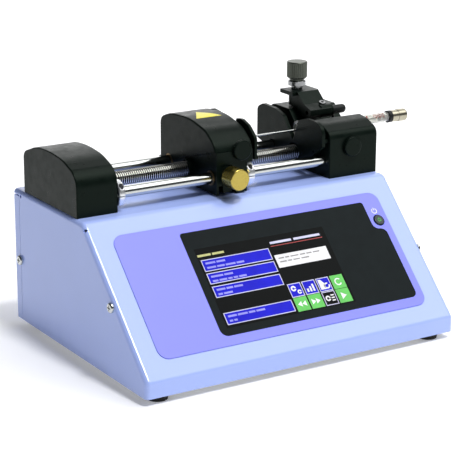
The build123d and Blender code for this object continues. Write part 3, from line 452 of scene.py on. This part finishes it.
def icon_signs():
    """White signs on the icons: two gears, bars, a chart, a turn, rewind, forward, a list and run."""
    signs = []
    x, s = icon_center(0, 0)
    signs.append(arc_band(x - 1.4, s + 1.2, 0.8, 1.9, 0, 340))
    signs.append(arc_band(x + 2.0, s - 1.6, 0.6, 1.5, 0, 340))
    x, s = icon_center(1, 0)
    signs += [rect(x - 3 + 2.2 * i, x - 1.6 + 2.2 * i, s - 3, s - 0.6 + 1.3 * i) for i in range(3)]
    x, s = icon_center(2, 0)
    chart = [(-3.6, -3.4), (0.4, -3.4), (0.4, 0.6), (-1.6, 3.6), (-3.6, 3.6)]
    signs.append([(x + along, s + up) for along, up in chart])
    signs.append(arc_band(x + 1.6, s - 1.2, 1.2, 2.2, 60, 380))
    x, s = icon_center(3, 0)
    signs.append(arc_band(x, s, 1.7, 2.6, 40, 330))
    x, s = icon_center(0, 1)
    signs += [wedge(x - 1.6, s, 1.9, -1), wedge(x + 1.6, s, 1.9, -1)]
    x, s = icon_center(1, 1)
    signs += [wedge(x - 1.6, s, 1.9, 1), wedge(x + 1.6, s, 1.9, 1)]
    x, s = icon_center(2, 1)
    signs.append(arc_band(x - 1.6, s, 0.9, 1.9, 0, 340))
    signs += [rect(x + 0.9, x + 3.4, s - 2.2 + 1.8 * i, s - 1.3 + 1.8 * i) for i in range(3)]
    x, s = icon_center(3, 1)
    signs.append(wedge(x, s, 2.4, 1))
    return signs


def make_screen():
    """Lit screen: fields, note, icons and bars that stand for words."""
    print_on("screen_black", screen_black, 0, [rect(*DISPLAY)])
    left, right = FIELD_X
    frames = [rect(left, right, low, high) for low, high in FIELDS]
    insides = [rect(left + FRAME_LINE, right - FRAME_LINE, low + FRAME_LINE, high - FRAME_LINE)
               for low, high in FIELDS]
    blue_icons = [(0, 0), (1, 0), (2, 0)]
    green_icons = [(3, 0), (0, 1), (1, 1), (3, 1)]
    frames += [icon_cell(*cell) for cell in blue_icons + [(2, 1)]]
    insides += [icon_cell(*cell, FRAME_LINE) for cell in blue_icons]
    print_on("screen_frames", screen_pale, 1, frames)
    print_on("screen_fields", screen_blue, 2, insides)
    print_on("screen_list_icon", screen_black, 2, [icon_cell(2, 1, FRAME_LINE)])
    print_on("screen_note", screen_white, 1, [rect(*NOTE)])
    print_on("screen_green_icons", screen_green, 1, [icon_cell(*cell) for cell in green_icons])
    print_on("screen_signs", screen_white, 3, icon_signs())
    words = []
    for (_, high), lines in FIELDS.items():
        for drop, lengths in zip(WORD_DROPS, lines):
            words += dashes(left + 2.4, high - drop, [w * WORD_SCALE for w in lengths], 1.3, 0.8)
    print_on("screen_words", screen_lilac, 3, words)
    note_words = dashes(NOTE[0] + 2.2, NOTE[3] - 3.0, [4, 3, 6, 4, 4, 5], 0.9)
    note_words += dashes(NOTE[0] + 2.2, NOTE[3] - 5.6, [5, 3, 5, 6], 0.9)
    print_on("screen_note_words", screen_grey, 2, note_words)
    print_on("screen_title", screen_yellow, 1, dashes(5.8, 54.4, [9.5, 8.5], 1.5))
    print_on("screen_heading", screen_pale, 1, dashes(58.6, 54.4, [16, 20], 1.6, 1.8))
    print_on("screen_rule", screen_red, 1, [rect(58.2, 97.4, 52.6, 53.1)])


BUTTON_MARK = (144.3, 64.6, 2.1)               # x, s and radius of the mark above the button, mm
BUTTON_RISE = 0.8                              # mm, button's cap over the glass
BUTTON_SIGN_R = 1.35                           # mm, mark on the button itself


def make_button_marks():
    """Power mark on the film above the button, and a green one on the button itself."""
    print_on("power_mark", screen_white, 0, power_mark(*BUTTON_MARK))
    low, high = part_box("power_button")
    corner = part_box("touch_glass")[0]
    middle = (low + high) / 2 - corner
    x, s = middle.x / MM, (middle.y + middle.z) / MM * HALF - GLASS_THICK / 2
    sign = power_mark(x, s, BUTTON_SIGN_R)
    print_on("button_mark", screen_green, 0, sign, "power_button", BUTTON_RISE)


# ------------------------------------------------------------------ lead screw and spring
THREAD_PITCH, THREAD_DEPTH, JOURNAL = 1.5, 0.85, 3.0      # mm
THREAD_LEAD, THREAD_SHORT = 0.7, 5.6                      # mm, from the frame, and short of the bearing
THREAD = ((0.0, 0), (0.15, 0), (0.5, 1), (0.7, 1))        # share of the pitch, share of the depth
AROUND = 28                                               # sides of the screw


def make_lead_screw():
    """Screw with a real helical thread between its two journals."""
    low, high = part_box("lead_screw")
    y, z = axis_of("lead_screw")
    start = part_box("drive_frame")[1].x + THREAD_LEAD * MM
    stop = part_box("screw_bearings")[1].x - THREAD_SHORT * MM
    pitch, depth = THREAD_PITCH * MM, THREAD_DEPTH * MM
    core = (high.z - low.z) / 2 - depth
    rows = [(turn + share, rise) for turn in range(-1, math.ceil((stop - start) / pitch) + 2)
            for share, rise in THREAD]
    verts, faces = [], []
    for along, rise in rows:
        for j in range(AROUND):
            x = start + (along + j / AROUND) * pitch
            r = core + rise * depth if start < x < stop else core
            turn = 2 * math.pi * j / AROUND
            x = min(max(x, start), stop)
            verts.append((x, y + r * math.cos(turn), z + r * math.sin(turn)))
    seam = len(THREAD) * AROUND
    for i in range(len(rows) - len(THREAD) - 1):
        for j in range(AROUND):
            here = i * AROUND + j
            beside = here + 1 if j < AROUND - 1 else i * AROUND + seam
            faces.append((here, beside, beside + AROUND, here + AROUND))
    steel = thread_with_painted_light()
    screw = new_piece("screw_thread", verts, faces, steel, "lead_screw", smooth=True)
    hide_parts("lead_screw")
    turns = [2 * math.pi * j / AROUND for j in range(AROUND)]
    r = JOURNAL * MM
    ring = [(y + r * math.cos(t), z + r * math.sin(t)) for t in turns]
    verts, faces = prisms([ring], low.x, high.x, lambda u, v, x: (x, u, v))
    new_piece("screw_journals", verts, faces, screw_steel, "lead_screw", smooth=True)


SPRING_TURNS, SPRING_WIRE = 4, 0.30                       # turns, wire radius in mm
SPRING_STEPS, SPRING_SIDES = 20, 8                        # steps in a turn, sides of the wire


def make_spring():
    """Coil spring behind the half nut, which the release knob squeezes on the real pump; here it keeps one
    length and rides on the pusher.
    """
    low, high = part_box("release_spring")
    middle = (low + high) / 2
    wire = SPRING_WIRE * MM
    r = (high.x - low.x) / 2 - wire
    y0, y1 = low.y + wire, high.y - wire
    steps, sides = SPRING_TURNS * SPRING_STEPS, SPRING_SIDES
    verts, faces = [], []
    for i in range(steps + 1):
        turn = 2 * math.pi * SPRING_TURNS * i / steps
        for j in range(sides):
            around = 2 * math.pi * j / sides
            reach = r + wire * math.cos(around)
            y = y0 + (y1 - y0) * i / steps + wire * math.sin(around)
            verts.append((middle.x + reach * math.cos(turn), y, middle.z + reach * math.sin(turn)))
    for i in range(steps):
        for j in range(sides):
            k = (j + 1) % sides
            faces.append((i * sides + j, i * sides + k, (i + 1) * sides + k, (i + 1) * sides + j))
    spring = new_piece("coil_spring", verts, faces, chrome, "pusher", smooth=True)
    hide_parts("release_spring")
    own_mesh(spring)


# ------------------------------------------------------------------ marks on the syringe and the pusher
MARK_END, MARK_PITCH, MARK_COUNT = 7.6, 1.6, 6            # mm from the barrel's end, pitch, number
MARK_WIDTH = 0.55                                         # mm
MARK_LONG, MARK_SHORT = 36, 22                            # degrees to each side of the marks' middle
MARK_MIDDLE, MARK_STEPS = 44, 6                           # degrees from the top, strips in one mark
LAST_MARK = (-21.8, -20.8)                                # mm from the barrel's end
INK = (0.01, 0.04)                                        # mm, lower and upper face of a mark over the glass
BARREL_R = 3.25                                           # mm


def make_syringe_marks():
    """Red-brown graduations printed round the front of the glass barrel."""
    y, z = axis_of("syringe_barrel")
    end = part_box("syringe_barrel")[1].x
    strokes = []
    for i in range(MARK_COUNT):
        x = -MARK_END - i * MARK_PITCH
        strokes.append((x, x + MARK_WIDTH, MARK_LONG if i % 2 == 0 else MARK_SHORT))
    strokes.append((*LAST_MARK, MARK_SHORT))
    outlines = []
    for x0, x1, reach in strokes:
        bends = [-reach + 2 * reach * k / MARK_STEPS for k in range(MARK_STEPS + 1)]
        for bend, next_bend in zip(bends, bends[1:]):
            outlines.append(rect(x0, x1, MARK_MIDDLE + bend, MARK_MIDDLE + next_bend))

    def on_barrel(x, degrees, lift):
        """x mm from the barrel's end, degrees from the top towards the front."""
        turn, r = math.radians(degrees), (BARREL_R + lift) * MM
        return end + x * MM, y - r * math.sin(turn), z + r * math.cos(turn)

    verts, faces = prisms(outlines, *INK, on_barrel)
    new_piece("syringe_marks", verts, faces, mark_red, "root")


LABEL_SIDE = 19.0                                         # mm
LABEL_FILM = (0.01, 0.10)                                 # mm, lower and upper face over the dome
LABEL_STRIPS = 14                                         # strips that follow the dome
LABEL_PLACE = (13.6, 35.3)                                # mm from the cover's left and front edges


def make_label():
    """Plain yellow triangular label that follows the pusher's dome."""
    cover = NODES["pusher_cover"].data
    tree = BVHTree.FromPolygons([v.co for v in cover.vertices], [p.vertices for p in cover.polygons])
    corner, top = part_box("pusher_cover")
    height = LABEL_SIDE * math.sqrt(3) / 2
    x_mid, y_mid = LABEL_PLACE
    outlines = []
    for i in range(LABEL_STRIPS):
        v0, v1 = height * i / LABEL_STRIPS, height * (i + 1) / LABEL_STRIPS
        wide0, wide1 = LABEL_SIDE / 2 * (1 - v0 / height), LABEL_SIDE / 2 * (1 - v1 / height)
        y0, y1 = y_mid - height / 3 + v0, y_mid - height / 3 + v1
        outlines.append([(x_mid - wide0, y0), (x_mid + wide0, y0), (x_mid + wide1, y1), (x_mid - wide1, y1)])

    def on_dome(x, y, lift):
        """Place x and y mm from the cover's corner, lift mm over the dome."""
        above = Vector((corner.x + x * MM, corner.y + y * MM, top.z + 0.01))
        hit = tree.ray_cast(above, Vector((0, 0, -1)))[0]
        return hit + Vector((0, 0, lift * MM))

    verts, faces = prisms(outlines, *LABEL_FILM, on_dome)
    new_piece("pusher_label", verts, faces, label_yellow, "pusher")


# ------------------------------------------------------------------ finishes of the CAD parts
ALONG_X = (30, 1, 1)                   # grain drawn out along the bar

make_camera()
make_studio()

enamel = satin_paint("blue_enamel", (0.405, 0.520, 0.97), 0.17)
zinc = metal("zinc_plate", (0.62, 0.63, 0.62), 0.38)
chrome = metal("chrome", (0.55, 0.57, 0.555), 0.11, ALONG_X)
satin_steel = metal("satin_steel", (0.84, 0.86, 0.87), 0.32)
film = satin_paint("overlay_film", (0.205, 0.225, 0.97), 0.30)
glass_black = moulded("dark_glass", (0.007, 0.011, 0.012), 0.16, 0.05)
display = moulded("display_metal", (0.35, 0.35, 0.36), 0.35)
black_metal = anodised("black_anodised", (0.0030, 0.0062, 0.0046), 0.34)
black_plastic = moulded("black_plastic", (0.008, 0.010, 0.0095), 0.42, 0.25)
rubber = moulded("rubber", (0.018, 0.018, 0.018), 0.75, 0.25)
aluminium = metal("aluminium", (0.68, 0.69, 0.70), 0.3, ALONG_X)
bronze = metal("bronze", (0.15, 0.10, 0.045), 0.38)
brass = metal("brass", (0.48, 0.38, 0.09), 0.28)
screw_steel = metal("screw_steel", (0.30, 0.305, 0.31), 0.22)
knob_steel = metal("knob_steel", (0.11, 0.12, 0.10), 0.38)
hub_metal = metal("syringe_metal", (0.45, 0.42, 0.32), 0.25)
board_green = moulded("green_board", (0.01, 0.13, 0.045), 0.35)
button_face = moulded("button_plastic", (0.008, 0.020, 0.022), 0.18)
white_seal = moulded("white_seal", (0.80, 0.80, 0.80), 0.4)
black_screw = metal("black_screw", (0.05, 0.05, 0.055), 0.35)

paint(enamel, "case_shell", "rear_panel")
paint(zinc, "base_plate", "foot_screws", "board_posts", "motor_bracket", "drive_screws")
paint(chrome, "side_screws", "guide_rod_front", "guide_rod_rear", "motor_shaft",
      "clamp_post", "plunger")
paint(satin_steel, "stop_collar_left", "stop_collar_right")
paint(screw_steel, "clamp_screw", "clamp_nut")
paint(film, "front_overlay")
paint(glass_black, "touch_glass")
paint(display, "lcd_module", "usb_socket", "control_socket")
paint(black_metal, "drive_cover", "pusher_cover", "pusher_block", "pusher_retainer",
      "holder_block", "holder_retainer", "clamp_bracket", "release_yoke",
      "pusher_thumbscrew", "holder_thumbscrew")
paint(black_plastic, "button_switch", "board_parts", "switch_frame", "switch_rocker",
      "power_inlet", "network_sockets", "motor_body", "clamp_foot", "clamp_bar",
      "syringe_ring")
paint(rubber, "rubber_feet", "timing_belt")
paint(aluminium, "drive_frame", "screw_pulley", "motor_pulley")
paint(bronze, "screw_bearings", "pusher_bushings", "half_nut")
paint(brass, "release_knob")
paint(knob_steel, "clamp_knob")
paint(clear_glass(), "syringe_barrel")
paint(hub_metal, "syringe_tip")
paint(board_green, "main_board")
paint(button_face, "power_button")
paint(white_seal, "plunger_seal")
paint(black_screw, "collar_screws")

# ------------------------------------------------------------------ pieces made here
screen_black = moulded("screen_black", (0.002, 0.003, 0.003), 0.16, 0.05)
screen_pale = moulded("screen_pale", (0.62, 0.62, 0.85), 0.25)
screen_blue = moulded("screen_blue", (0.008, 0.008, 0.60), 0.22, 0.10)
screen_lilac = moulded("screen_lilac", (0.28, 0.28, 0.85), 0.25)
screen_white = moulded("screen_white", (0.86, 0.86, 0.88), 0.25)
screen_green = moulded("screen_green", (0.10, 0.56, 0.08), 0.22)
screen_grey = moulded("screen_grey", (0.28, 0.28, 0.28), 0.3)
screen_yellow = moulded("screen_yellow", (0.55, 0.55, 0.20), 0.3)
screen_red = moulded("screen_red", (0.40, 0.03, 0.03), 0.3)
mark_red = moulded("mark_red", (0.30, 0.045, 0.03), 0.4)
label_yellow = moulded("label_yellow", (0.80, 0.70, 0.02), 0.35)

make_screen()
make_button_marks()
make_lead_screw()
make_spring()
make_syringe_marks()
make_label()

scene.view_settings.view_transform = "Standard"
